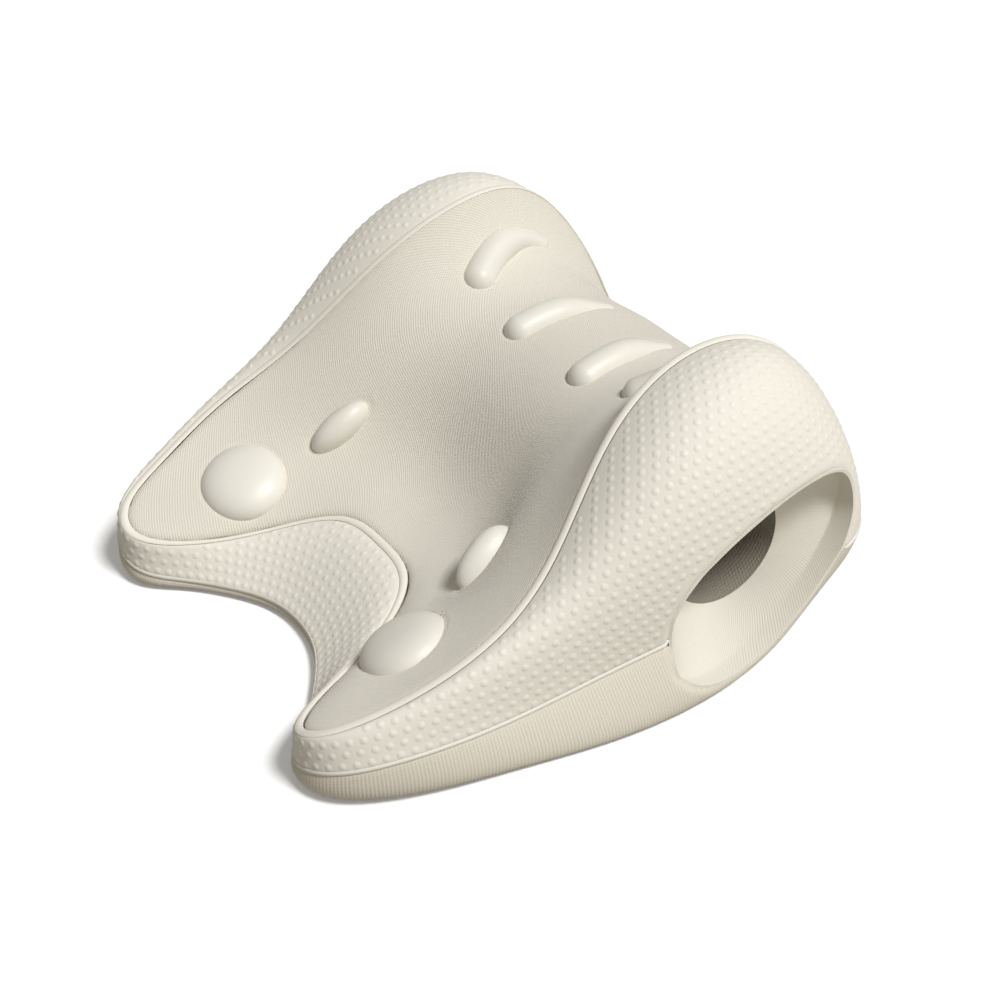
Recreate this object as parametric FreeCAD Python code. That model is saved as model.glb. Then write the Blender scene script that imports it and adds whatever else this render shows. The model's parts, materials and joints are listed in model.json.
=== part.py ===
import FreeCAD, Part
import math
import os

# Cervical traction device: a moulded foam neck stretcher in fabric skins, with a tunnel through its hump.
# X is the width, Y runs from the horns (-) to the hump (+), Z is up. The origin is the middle of the base.
# Lengths are millimetres.

V = FreeCAD.Vector
UP = V(0, 0, 1)

# Lines plan of the right half. A station holds the panel edge (lip), the seam between band and base,
# the outer foot of the base on the ground, and how full the side bulges (0 hollow to 1 full).
SIDE_STATIONS = [
    ((86, -110, 29), (95, -114, 17), (95, -117), 0.2),
    ((94, -90, 33), (109, -89, 21), (113, -90), 0.3),
    ((103, -53, 46), (114, -51, 20), (124, -54), 0.4),
    ((96, -18, 59), (118, -16, 24), (137, -17), 0.75),
    ((79, 20, 97), (125, 22, 29), (141, 22), 1.0),
    ((74, 62, 112), (128, 62, 30), (134, 58), 1.0),
    ((80, 101, 103), (126, 98, 29), (110, 91), 1.0),
    ((77, 120, 62), (111, 116, 27), (104, 114), 1.0),
]
# From the right horn round to the middle of the notch.
NOTCH_STATIONS = [
    ((70, -114, 22), (68, -120, 9), (67, -122), 0.1),
    ((55, -94, 18), (54, -103, 6), (54, -105), 0.0),
    ((45, -65, 17), (38, -91, 6), (38, -93), 0.0),
    ((28, -36, 24), (20, -80, 6), (20, -82), 0.0),
    ((0, -36, 24), (0, -77, 6), (0, -79), 0.0),
]
# From the right back corner to the middle of the back.
BACK_STATIONS = [
    ((58, 121, 30), (71, 125, 22), (71, 127), 0.6),
    ((43, 122, 30), (54, 127, 22), (54, 129), 0.6),
    ((28, 122, 30), (36, 128, 22), (36, 130), 0.6),
    ((14, 122, 30), (18, 128, 22), (18, 130), 0.6),
    ((0, 122, 30), (0, 128, 22), (0, 130), 0.6),
]
# Middle of the panel, one (Y, Z) for each row between the notch and the back: it dips, then climbs the hump.
VALLEY = [(-30, 23), (-12, 25), (6, 38), (24, 63), (46, 76), (70, 78), (96, 69), (116, 52)]
CUSHION = 8.0         # rise of the panel's poles over the horns, midway from the valley to the lip
CUSHION_ROWS = 4

SKIN = 3.0            # thickness of the laminated fabric skins
LIP_WIDTH = 3.0       # rolled lip between panel and band
LIP_RISE = 2.2
WELT_WIDTH = 1.6      # cord in the seam between band and base
WELT_RISE = 1.6
SHOULDER_ROOM = 15.0  # a band narrower than this bulges less above its lip
BASE_INSET = 12.0     # the base rolls under by this much before it lies flat

BORE_RADIUS = 25.0
BORE_HALF_LENGTH = 100.0
BORE_Y = 55.0
BORE_Z = 35.5
LINER = 1.5           # thickness of the tunnel linings
MOUTH_Y = 55.1
MOUTH_Z = 36.3
MOUTH_HALF_LENGTH = 49.5
MOUTH_HALF_HEIGHT = 27.3
MOUTH_TILT = 20.2     # degrees that the long axis rises towards the back
MOUTH_FRONT_X = 128.0
MOUTH_SLOPE = 0.2     # the mouth comes in by this much per millimetre towards the back
MOUTH_FRONT_Y = 15.0
CLEARANCE = 40.0      # carries the mouth well past the widest point

ROUND_NODE = (65.0, -64.4)
ROUND_RADII = (18.0, 18.0, 9.2)
OVAL_NODE = (56.0, -21.6)
OVAL_RADII = (6.6, 15.0, 10.4)
NODE_SINK = 2.5       # depth of a node's centre below the panel
# Places in plan that a ridge runs through, from its front end to its back end.
OUTER_RIDGE = [(54.0, 53.0), (62.5, 70.0), (65.0, 92.0)]
INNER_RIDGE = [(22.5, 50.0), (21.5, 68.0), (20.0, 91.0)]
RIDGE_RADIUS = 7.2
RIDGE_SINK = 2.4


# ---- lines plan -------------------------------------------------------------------------------------

def section(station):
    """Poles across the skin at a station, from the panel edge down to the flat of the base."""
    lip, seam, foot = V(*station[0]), V(*station[1]), V(*station[2], 0)
    full = station[3]
    span = V(foot.x - lip.x, foot.y - lip.y, 0)
    width = span.Length
    out = span.normalize()
    drop = lip.z - seam.z
    crest = lip + out * (LIP_WIDTH / 2) + UP * LIP_RISE
    band_top = lip + out * LIP_WIDTH
    room = width - LIP_WIDTH
    rise = (0.05 + 0.05 * full) * lip.z * min(1, room / SHOULDER_ROOM)
    shoulder = band_top + out * ((0.25 + 0.43 * full) * room) + UP * rise
    flank = seam + (lip - seam) * (0.33 * (1 - full)) + UP * ((0.15 + 0.5 * full) * drop)
    flank = flank + out * (0.1 * full * width)
    cord = seam + out * WELT_RISE - UP * (WELT_WIDTH / 2)
    base_top = seam - UP * WELT_WIDTH
    belly = base_top + (foot - base_top) * 0.45 + out * (1 + full)
    flat = foot - out * BASE_INSET
    return [lip, crest, band_top, shoulder, flank, seam, cord, base_top, belly, foot, flat]


def without_cords(sections):
    """The same poles with the rolled lip and the seam cord pressed flat."""
    flat = []
    for row in sections:
        lip_middle = (row[0] + row[2]) * 0.5
        seam_middle = (row[5] + row[7]) * 0.5
        flat.append([row[0], lip_middle] + row[2:6] + [seam_middle] + row[7:])
    return flat


def mirrored(sections):
    return [[V(-p.x, p.y, p.z) for p in row] for row in sections]


def halfway(first, second):
    return [(a + b) * 0.5 for a, b in zip(first, second)]


def strips():
    """The four strips of sections that run round the object: right, left, notch and back.

    A corner section lies halfway between its neighbours, so the strips flow into one another."""
    side = [section(s) for s in SIDE_STATIONS]
    notch = [section(s) for s in NOTCH_STATIONS]
    back = [section(s) for s in BACK_STATIONS]
    horn = halfway(side[0], notch[0])
    corner = halfway(side[-1], back[0])
    right = [horn] + side + [corner]
    half_notch = [horn] + notch
    half_back = [corner] + back
    return {
        "right": right,
        "left": mirrored(right),
        "notch": half_notch + mirrored(half_notch[:-1])[::-1],
        "back": half_back + mirrored(half_back[:-1])[::-1],
    }


def panel_net(plan):
    """Poles of the centre panel, spread between its four edges and hung from the valley line."""
    front = [row[0] for row in plan["notch"]]
    back = [row[0] for row in plan["back"]]
    right = [row[0] for row in plan["right"]]
    left = [row[0] for row in plan["left"]]
    last_row, last_col = len(right) - 1, len(front) - 1
    net = []
    for i in range(last_row + 1):
        v = i / last_row
        row = []
        for j in range(last_col + 1):
            u = j / last_col
            edges = front[j] * (1 - v) + back[j] * v + right[i] * (1 - u) + left[i] * u
            corners = (front[0] * (1 - u) + front[-1] * u) * (1 - v) + (back[0] * (1 - u) + back[-1] * u) * v
            row.append(edges - corners)
        net.append(row)
    for i in range(1, last_row):
        y, z = VALLEY[i - 1]
        pull = V(0, y, z) - net[i][last_col // 2]
        for j in range(last_col + 1):
            across = 1 - 2 * j / last_col
            swell = CUSHION * cushion_share(i) * math.sin(math.pi * abs(across))
            net[i][j] = net[i][j] + pull * (1 - across * across) + UP * swell
    return net


def cushion_share(row):
    """How much of the horns' cushion a row of the panel's net carries, from the notch back to the neck."""
    return max(0, 1 - ((row - 1) / CUSHION_ROWS) ** 2)


# ---- skins ------------------------------------------------------------------------------------------

def key(p):
    return (round(p.x, 3), round(p.y, 3), round(p.z, 3))


def gather_normals(nets):
    """Mean outward direction at every pole, shared by all skins that meet there."""
    normals = {}
    for net, sign in nets:
        for i in range(len(net) - 1):
            for j in range(len(net[0]) - 1):
                corners = [net[i][j], net[i + 1][j], net[i + 1][j + 1], net[i][j + 1]]
                face = (corners[2] - corners[0]).cross(corners[3] - corners[1]) * sign
                if face.Length > 1e-6:
                    face.normalize()
                for p in corners:
                    normals[key(p)] = normals.get(key(p), V(0, 0, 0)) + face
    return normals


def inner_point(p, normals):
    """The pole one skin thickness inside the surface. The flat of the base stays level."""
    n = V(normals[key(p)])
    if p.z < 0.01:
        level = V(n.x, n.y, 0)
        shift = level.normalize() * SKIN if level.Length > 1e-6 else V(0, 0, 0)
        return V(p.x - shift.x, p.y - shift.y, SKIN)
    inner = p - n.normalize() * SKIN
    return V(inner.x, inner.y, max(inner.z, SKIN))


def offset_net(net, normals):
    return [[inner_point(p, normals) for p in row] for row in net]


def share_normals(sections, normals, panel_normals):
    """Give the poles across the lip one direction, midway between panel and band, and those of the seam one.

    The narrow strips behind the two cords then keep their width."""
    for row in sections:
        over_lip = V(panel_normals[key(row[0])]).normalize() + V(normals[key(row[4])]).normalize()
        over_seam = normals[key(row[5])] + normals[key(row[6])] + normals[key(row[7])]
        for p in row[0:3]:
            normals[key(p)] = over_lip
        for p in row[5:8]:
            normals[key(p)] = over_seam


def flow_corners(plan, net):
    """Put the corner sections of the inner plan halfway between their neighbours again."""
    right, left, notch, back = plan["right"], plan["left"], plan["notch"], plan["back"]
    right[0] = notch[0] = halfway(right[1], notch[1])
    left[0] = notch[-1] = halfway(left[1], notch[-2])
    right[-1] = back[0] = halfway(right[-2], back[1])
    left[-1] = back[-1] = halfway(left[-2], back[-2])
    net[0][0], net[0][-1] = right[0][0], left[0][0]
    net[-1][0], net[-1][-1] = right[-1][0], left[-1][0]


def clamped(count, degree):
    """Knots and multiplicities of a spline that starts and ends on its outer poles."""
    spans = count - degree
    mults = [degree + 1] + [1] * (spans - 1) + [degree + 1]
    return [i / spans for i in range(spans + 1)], mults


def patch(net):
    """Spline surface over a net of poles, cubic wherever it has the poles for it."""
    u_degree, v_degree = min(3, len(net) - 1), min(3, len(net[0]) - 1)
    u_knots, u_mults = clamped(len(net), u_degree)
    v_knots, v_mults = clamped(len(net[0]), v_degree)
    surface = Part.BSplineSurface()
    surface.buildFromPolesMultsKnots(net, u_mults, v_mults, u_knots, v_knots, False, False, u_degree, v_degree)
    return surface


def columns(net, first, last):
    return [row[first:last + 1] for row in net]


def edge_strip(outer, inner, col):
    """Ruled face that closes a skin along one column of its poles."""
    return patch([[a[col], b[col]] for a, b in zip(outer, inner)]).toShape()


def closed_solid(faces):
    shell = Part.makeShell(faces)
    shell.sewShape()
    solid = Part.Solid(shell.childShapes()[0] if shell.ShapeType != "Shell" else shell)
    if solid.Volume < 0:
        solid.reverse()
    return solid


def ring_solid(plan, inner_plan, first, last):
    """A closed skin right round the object, between two columns of the lines plan."""
    faces = []
    for name in plan:
        outer = columns(plan[name], first, last)
        inner = columns(inner_plan[name], first, last)
        faces.append(patch(outer).toShape())
        faces.append(patch(inner).toShape())
        faces.append(edge_strip(outer, inner, 0))
        faces.append(edge_strip(outer, inner, -1))
    return closed_solid(faces)


def level_face(plan):
    """The flat of the base, inside the last column of the lines plan."""
    edges = []
    for name in ("right", "notch", "left", "back"):
        curve = Part.BSplineCurve()
        poles = [row[-1] for row in plan[name]]
        knots, mults = clamped(len(poles), 3)
        curve.buildFromPolesMultsKnots(poles, mults, knots, False, 3)
        edges.append(curve.toShape())
    return Part.Face(Part.Wire(Part.__sortEdges__(edges)))


def panel_solid(net, inner):
    def turned(rows):
        return [list(col) for col in zip(*rows)]
    faces = [patch(net).toShape(), patch(inner).toShape()]
    faces += [edge_strip(net, inner, 0), edge_strip(net, inner, -1)]
    faces += [edge_strip(turned(net), turned(inner), 0), edge_strip(turned(net), turned(inner), -1)]
    return closed_solid(faces)


def base_solid(plan, inner_plan):
    faces = [level_face(plan), level_face(inner_plan)]
    for name in plan:
        outer = columns(plan[name], 7, 10)
        inner = columns(inner_plan[name], 7, 10)
        faces.append(patch(outer).toShape())
        faces.append(patch(inner).toShape())
        faces.append(edge_strip(outer, inner, 0))
    return closed_solid(faces)


def envelope(plan, net):
    """Everything inside a set of surfaces: the foam with the inner ones, the whole object with the outer."""
    faces = [patch(net).toShape(), level_face(plan)]
    for name in plan:
        for first, last in ((0, 2), (2, 5), (5, 7), (7, 10)):
            faces.append(patch(columns(plan[name], first, last)).toShape())
    return closed_solid(faces)


# ---- tunnel -----------------------------------------------------------------------------------------

def mouth_wire(extra):
    """Oval outline of the tunnel's mouth, which slants inwards towards the back."""
    tilt = math.radians(MOUTH_TILT)
    centre = V(MOUTH_FRONT_X - MOUTH_SLOPE * (MOUTH_Y - MOUTH_FRONT_Y), MOUTH_Y, MOUTH_Z)
    level = V(-MOUTH_SLOPE, 1, 0).normalize()
    along = level * math.cos(tilt) + UP * math.sin(tilt)
    across = UP * math.cos(tilt) - level * math.sin(tilt)
    long_end = centre + along * (MOUTH_HALF_LENGTH + extra)
    short_end = centre + across * (MOUTH_HALF_HEIGHT + extra)
    return Part.Wire(Part.Ellipse(long_end, short_end, centre).toShape())


def funnel_space(extra):
    """The flare from the bore to the mouth, carried on straight outwards past the side."""
    start = V(BORE_HALF_LENGTH, BORE_Y, BORE_Z)
    inner_end = Part.Wire(Part.makeCircle(BORE_RADIUS + extra, start, V(1, 0, 0)))
    flare = Part.makeLoft([inner_end, mouth_wire(extra)], True, True)
    outside = Part.Face(mouth_wire(extra)).extrude(V(CLEARANCE, 0, 0))
    return flare.fuse(outside)


def bore_space(extra):
    start = V(-BORE_HALF_LENGTH, BORE_Y, BORE_Z)
    return Part.makeCylinder(BORE_RADIUS + extra, 2 * BORE_HALF_LENGTH, start, V(1, 0, 0))


# ---- massage nodes ----------------------------------------------------------------------------------

def seat(surface, x, y):
    """Point and outward normal of the panel straight above a place in plan."""
    z = 40.0
    for _ in range(25):
        u, v = surface.parameter(V(x, y, z))
        z = surface.value(u, v).z
    normal = surface.normal(u, v)
    if normal.z < 0:
        normal = normal * -1
    return surface.value(u, v), normal


def pad_node(surface, place, radii):
    """Domed pad let into the panel, tilted to lie with it."""
    point, normal = seat(surface, *place)
    scale = FreeCAD.Matrix()
    scale.scale(*radii)
    dome = Part.makeSphere(1.0).transformGeometry(scale)
    dome.Placement = FreeCAD.Placement(point - normal * NODE_SINK, FreeCAD.Rotation(UP, normal))
    return dome


def ridge_node(surface, places):
    """Long rounded ridge that follows the hump from front to back."""
    ends = []
    for x, y in places:
        point, normal = seat(surface, x, y)
        ends.append(point - normal * RIDGE_SINK)
    centre = Part.Circle(*ends).Center
    start, end = ends[0] - centre, ends[2] - centre
    angle = math.degrees(start.getAngle(end))
    axis = start.cross(end).normalize()
    disc = Part.Face(Part.Wire(Part.makeCircle(RIDGE_RADIUS, ends[0], axis.cross(start))))
    rod = disc.revolve(centre, axis, angle)
    caps = [Part.makeSphere(RIDGE_RADIUS, p) for p in (ends[0], ends[2])]
    return rod.fuse(caps).removeSplitter()


def mirror(shape):
    return shape.mirror(V(0, 0, 0), V(1, 0, 0))


# ---- assembly ---------------------------------------------------------------------------------------

def build():
    plan = strips()
    net = panel_net(plan)
    signs = {"right": -1, "left": 1, "notch": 1, "back": -1}
    bare = {name: without_cords(plan[name]) for name in plan}
    nets = [(bare[name], signs[name]) for name in plan] + [(net, 1)]
    normals = gather_normals(nets)
    panel_normals = gather_normals([(net, 1)])
    for name in plan:
        inside = bare[name] if name in ("right", "left") else bare[name][1:-1]
        share_normals(inside, normals, panel_normals)
    inner_plan = {name: offset_net(bare[name], normals) for name in plan}
    inner_net = offset_net(net, normals)
    flow_corners(inner_plan, inner_net)

    whole = envelope(plan, net)
    foam = envelope(inner_plan, inner_net)
    panel = panel_solid(net, inner_net)
    band = ring_solid(plan, inner_plan, 2, 5)
    piping = ring_solid(plan, inner_plan, 0, 2)
    welt = ring_solid(plan, inner_plan, 5, 7)
    base = base_solid(plan, inner_plan)

    surface = patch(net)
    right_nodes = {
        "round_node": pad_node(surface, ROUND_NODE, ROUND_RADII),
        "oval_node": pad_node(surface, OVAL_NODE, OVAL_RADII),
        "outer_ridge": ridge_node(surface, OUTER_RIDGE),
        "inner_ridge": ridge_node(surface, INNER_RIDGE),
    }
    nodes = {}
    for name, shape in right_nodes.items():
        nodes[name + "_right"] = shape
        nodes[name + "_left"] = mirror(shape)

    hollow = funnel_space(LINER)
    tunnel = [hollow, mirror(hollow), bore_space(LINER)]
    lining = hollow.cut(funnel_space(0)).common(whole)

    parts = dict(nodes)
    sockets = list(nodes.values())
    parts["foam_core"] = foam.cut(tunnel + sockets)
    parts["centre_panel"] = panel.cut(sockets)
    parts["side_band"] = band.cut(tunnel[:2])
    parts["seam_welt"] = welt.cut(tunnel[:2])
    parts["base_panel"] = base.cut(tunnel[:2])
    parts["rim_piping"] = piping
    parts["bore_sleeve"] = bore_space(LINER).cut(bore_space(0))
    parts["right_funnel"] = lining
    parts["left_funnel"] = mirror(lining)
    return whole, parts


def main():
    os.makedirs("parts", exist_ok=True)
    whole, parts = build()
    box = whole.optimalBoundingBox()
    middle = V(0, -(box.YMin + box.YMax) / 2, 0)
    for name, shape in parts.items():
        shape.translate(middle)
        print(name, shape.ShapeType, len(shape.Solids), shape.isValid(), round(shape.Volume / 1000, 1), "cm3")
        shape.exportStep("parts/" + name + ".step")
    print("size", round(box.XLength, 1), round(box.YLength, 1), round(box.ZLength, 1))
    print("bore axis at", round(BORE_Y + middle.y, 4), BORE_Z)


main()
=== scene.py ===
import json
import math

import bmesh
import bpy
import numpy as np
from mathutils import Matrix, Vector
from mathutils.bvhtree import BVHTree
from mathutils.kdtree import KDTree


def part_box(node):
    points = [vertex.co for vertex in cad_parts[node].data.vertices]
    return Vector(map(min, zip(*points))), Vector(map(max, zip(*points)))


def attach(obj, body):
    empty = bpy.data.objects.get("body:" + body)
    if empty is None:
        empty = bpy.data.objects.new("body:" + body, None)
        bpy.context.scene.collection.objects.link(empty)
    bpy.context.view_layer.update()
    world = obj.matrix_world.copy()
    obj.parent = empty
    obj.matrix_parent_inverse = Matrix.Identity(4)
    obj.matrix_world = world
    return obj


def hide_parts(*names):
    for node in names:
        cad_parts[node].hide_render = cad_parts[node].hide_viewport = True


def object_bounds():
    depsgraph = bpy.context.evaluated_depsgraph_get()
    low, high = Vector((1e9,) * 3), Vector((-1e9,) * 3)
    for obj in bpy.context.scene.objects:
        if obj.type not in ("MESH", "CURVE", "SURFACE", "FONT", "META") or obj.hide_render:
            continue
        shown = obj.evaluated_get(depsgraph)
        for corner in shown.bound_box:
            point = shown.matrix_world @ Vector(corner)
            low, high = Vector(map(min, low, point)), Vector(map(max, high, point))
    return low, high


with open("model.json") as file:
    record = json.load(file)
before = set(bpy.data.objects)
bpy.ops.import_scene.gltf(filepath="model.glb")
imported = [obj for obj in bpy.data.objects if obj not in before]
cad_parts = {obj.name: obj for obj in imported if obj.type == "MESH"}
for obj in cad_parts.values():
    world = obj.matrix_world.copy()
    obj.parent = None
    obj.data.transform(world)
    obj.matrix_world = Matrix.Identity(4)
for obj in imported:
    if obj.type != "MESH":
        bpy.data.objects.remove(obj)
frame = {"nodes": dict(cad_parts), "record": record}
cad_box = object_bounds()

# The looks of a moulded foam neck stretcher: knitted skins with real dots, ribs, lip and welt.
# The plan below is in millimetres, as in the CAD source. Every mesh is made in millimetres and scaled once.

MM = 0.001
MIRROR = np.array([-1.0, 1.0, 1.0])

# Lines plan of the right half: panel edge, seam, outer foot on the ground, fullness of the side.
SIDE_STATIONS = [
    ((86, -110, 29), (95, -114, 17), (95, -117), 0.2),
    ((94, -90, 33), (109, -89, 21), (113, -90), 0.3),
    ((103, -53, 46), (114, -51, 20), (124, -54), 0.4),
    ((96, -18, 59), (118, -16, 24), (137, -17), 0.75),
    ((79, 20, 97), (125, 22, 29), (141, 22), 1.0),
    ((74, 62, 112), (128, 62, 30), (134, 58), 1.0),
    ((80, 101, 103), (126, 98, 29), (110, 91), 1.0),
    ((77, 120, 62), (111, 116, 27), (104, 114), 1.0),
]
NOTCH_STATIONS = [
    ((70, -114, 22), (68, -120, 9), (67, -122), 0.1),
    ((55, -94, 18), (54, -103, 6), (54, -105), 0.0),
    ((45, -65, 17), (38, -91, 6), (38, -93), 0.0),
    ((28, -36, 24), (20, -80, 6), (20, -82), 0.0),
    ((0, -36, 24), (0, -77, 6), (0, -79), 0.0),
]
BACK_STATIONS = [
    ((58, 121, 30), (71, 125, 22), (71, 127), 0.6),
    ((43, 122, 30), (54, 127, 22), (54, 129), 0.6),
    ((28, 122, 30), (36, 128, 22), (36, 130), 0.6),
    ((14, 122, 30), (18, 128, 22), (18, 130), 0.6),
    ((0, 122, 30), (0, 128, 22), (0, 130), 0.6),
]
VALLEY = [(-30, 23), (-12, 25), (6, 38), (24, 63), (46, 76), (70, 78), (96, 69), (116, 52)]
CUSHION, CUSHION_ROWS = 8.0, 4    # swell of the panel over the horns
LIP_WIDTH, LIP_RISE = 3.0, 2.2
WELT_WIDTH, WELT_RISE = 1.6, 1.6
SHOULDER_ROOM, BASE_INSET = 15.0, 12.0
PLAN_BORE_Y = 55.0            # where the plan has the tunnel's axis; the record says where the CAD has it

MOUTH_Y, MOUTH_Z = 55.1, 36.3
MOUTH_HALF_LENGTH, MOUTH_HALF_HEIGHT = 49.5, 27.3
MOUTH_TILT = math.radians(20.2)
MOUTH_FRONT_X, MOUTH_FRONT_Y, MOUTH_SLOPE = 128.0, 15.0, 0.2
MOUTH_ZONE_X = 60.0           # a point further out than this can belong to a mouth
ROLL_WIDTH, ROLL_DEPTH = 3.0, 1.3     # how the skins roll in at a mouth
CLEARANCE = 40.0
LINER = 1.2                   # visible thickness of the tunnel linings
SKIN = 2.6                    # thickness of the skins

DOT_PITCH, DOT_RADIUS, DOT_HEIGHT = 5.0, 1.35, 0.26
DOT_MARGIN = 1.2              # smooth fabric between the outermost dots and an edge
RIB_PITCH, RIB_HEIGHT = 1.3, 0.085
WEAVE_PITCH, YARN_PITCH = 1.15, 0.8
FUNNEL_TWILL, BORE_TWILL = 1.0, 1.4   # pitch of the twill in the linings
GROOVE_DEPTH, GROOVE_PITCH = 0.2, 1.6 # rings round the bore's lining
TANGENT_REACH = 0.7           # half the distance over which directions round the object are measured

# Massage nodes, as in the CAD source: half sizes of the domes, places in plan that a ridge runs through.
ROUND_HALF, OVAL_HALF = (18.0, 18.0, 9.2), (6.6, 15.0, 10.4)
OUTER_RIDGE = [(54.0, 53.0), (62.5, 70.0), (65.0, 92.0)]
INNER_RIDGE = [(22.5, 50.0), (21.5, 68.0), (20.0, 91.0)]
RIDGE_RADIUS, RIDGE_SINK = 7.2, 2.4
DOME_SQUARE = 0.85            # below 1 the domes stand steeper at their edge than an ellipsoid

mounts = {m["name"]: m for m in frame["record"]["mounts"]}
BORE = np.array(mounts["tunnel"]["pos_m"]) / MM
BORE_RADIUS = mounts["tunnel"]["dims"]["r_mm"]
BORE_HALF = mounts["tunnel"]["dims"]["length_mm"] / 2
SHIFT = np.array([0.0, BORE[1] - PLAN_BORE_Y, 0.0])

# The poles of a section that each skin runs between.
LIP, BAND, WELT, BASE = (0, 2), (2, 5), (5, 7), (7, 10)


# ---- lines plan ----

def unit(v):
    return v / np.maximum(np.linalg.norm(v, axis=-1, keepdims=True), 1e-12)


def full_turn(count):
    return np.linspace(0, 2 * math.pi, count + 1)[:-1]


def smoothstep(low, high, x):
    t = np.clip((x - low) / (high - low), 0, 1)
    return t * t * (3 - 2 * t)


def section(lip, seam, foot, full):
    """Poles across the skin at a station, from the panel edge down to the flat of the base."""
    lip, seam, foot = np.array(lip, float), np.array(seam, float), np.array([*foot, 0.0])
    up = np.array([0.0, 0.0, 1.0])
    span = (foot - lip) * (1, 1, 0)
    width = np.linalg.norm(span)
    out = span / width
    drop = lip[2] - seam[2]
    crest = lip + out * (LIP_WIDTH / 2) + up * LIP_RISE
    band_top = lip + out * LIP_WIDTH
    room = width - LIP_WIDTH
    rise = (0.05 + 0.05 * full) * lip[2] * min(1, room / SHOULDER_ROOM)
    shoulder = band_top + out * ((0.25 + 0.43 * full) * room) + up * rise
    flank = seam + (lip - seam) * (0.33 * (1 - full)) + up * ((0.15 + 0.5 * full) * drop)
    flank = flank + out * (0.1 * full * width)
    cord = seam + out * WELT_RISE - up * (WELT_WIDTH / 2)
    base_top = seam - up * WELT_WIDTH
    belly = base_top + (foot - base_top) * 0.45 + out * (1 + full)
    flat = foot - out * BASE_INSET
    rows = [lip, crest, band_top, shoulder, flank, seam, cord, base_top, belly, foot, flat]
    return np.array(rows) + SHIFT


def strips():
    """Sections round the object: right, left, notch and back, flowing into one another at the corners."""
    side = [section(*s) for s in SIDE_STATIONS]
    notch = [section(*s) for s in NOTCH_STATIONS]
    back = [section(*s) for s in BACK_STATIONS]
    horn = (side[0] + notch[0]) / 2
    corner = (side[-1] + back[0]) / 2
    right = np.array([horn] + side + [corner])
    half_notch, half_back = np.array([horn] + notch), np.array([corner] + back)
    return {
        "right": right,
        "left": right * MIRROR,
        "notch": np.concatenate([half_notch, (half_notch[:-1] * MIRROR)[::-1]]),
        "back": np.concatenate([half_back, (half_back[:-1] * MIRROR)[::-1]]),
    }


def spread(front, back, right, left):
    """Net between four edges: front and back have one length, right and left another."""
    v = np.linspace(0, 1, len(right))[:, None, None]
    u = np.linspace(0, 1, len(front))[None, :, None]
    edges = front * (1 - v) + back * v + right[:, None] * (1 - u) + left[:, None] * u
    corners = (front[0] * (1 - u) + front[-1] * u) * (1 - v) + (back[0] * (1 - u) + back[-1] * u) * v
    return edges - corners


def panel_net(plan):
    lips = [plan[name][:, 0] for name in ("notch", "back", "right", "left")]
    net = spread(*lips)
    middle = net.shape[1] // 2
    across = np.linspace(1, -1, net.shape[1])
    for i, (y, z) in enumerate(VALLEY, start=1):
        pull = np.array([0.0, y, z]) + SHIFT - net[i, middle]
        net[i] += pull * (1 - across ** 2)[:, None]
        share = max(0, 1 - ((i - 1) / CUSHION_ROWS) ** 2)
        net[i, :, 2] += CUSHION * share * np.sin(math.pi * np.abs(across))
    return net


def basis(count, u):
    """Weights of a clamped cubic spline's poles at the parameters u."""
    knots = np.concatenate([[0] * 3, np.linspace(0, 1, count - 2), [1] * 3])
    u = np.clip(u, 0, 1 - 1e-9)[:, None]
    weights = ((knots[:-1] <= u) & (u < knots[1:])).astype(float)
    for degree in range(1, 4):
        n = weights.shape[1] - 1
        low, high = knots[:n], knots[degree + 1:degree + 1 + n]
        span_low = knots[degree:degree + n] - low
        span_high = high - knots[1:n + 1]
        rise = (u - low) / np.where(span_low > 0, span_low, 1)
        fall = (high - u) / np.where(span_high > 0, span_high, 1)
        weights = rise * weights[:, :n] + fall * weights[:, 1:]
    return weights


def bezier(poles, v):
    """Curve with poles (..., count, 3) at the parameters v (...)."""
    degree = poles.shape[-2] - 1
    total = 0
    for j in range(degree + 1):
        weight = math.comb(degree, j) * v ** j * (1 - v) ** (degree - j)
        total = total + weight[..., None] * poles[..., j, :]
    return total


def running_length(points):
    """Length run along axis -2 of points, starting at zero."""
    steps = np.linalg.norm(np.diff(points, axis=-2), axis=-1)
    return np.concatenate([np.zeros(steps.shape[:-1] + (1,)), np.cumsum(steps, axis=-1)], axis=-1)


def read_off(at, run, points):
    """The points met at some lengths of the run along them."""
    return np.stack([np.interp(at, run, points[:, c]) for c in range(points.shape[1])], axis=1)


class Ring:
    """The sections all the way round, by the length run along the middle of the band."""

    def __init__(self, plan):
        self.s, self.poles, self.corners = [], [], [0.0]
        for name, way in (("notch", 1), ("left", 1), ("back", -1), ("right", -1)):
            strip = plan[name][::way]
            dense = np.einsum("uk,kpc->upc", basis(len(strip), np.linspace(0, 1, 700)), strip)
            length = running_length((dense[:, BAND[0]] + dense[:, BAND[1]]) / 2)
            self.s.append(length + self.corners[-1])
            self.poles.append(dense)
            self.corners.append(self.corners[-1] + length[-1])
        self.s, self.poles = np.concatenate(self.s), np.concatenate(self.poles)
        self.length = self.corners[-1]

    def sections(self, s):
        s = np.mod(s, self.length)
        flat = self.poles.reshape(len(self.s), -1)
        return read_off(s, self.s, flat).reshape(len(s), -1, 3)

    def stops(self, step, group=1):
        """Places about a step apart, with one on each corner and a multiple of group on each side."""
        sides = []
        for a, b in zip(self.corners[:-1], self.corners[1:]):
            count = group * max(1, round((b - a) / (step * group)))
            sides.append(np.linspace(a, b, count + 1)[:-1])
        return sides


# ---- meshes ----

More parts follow.
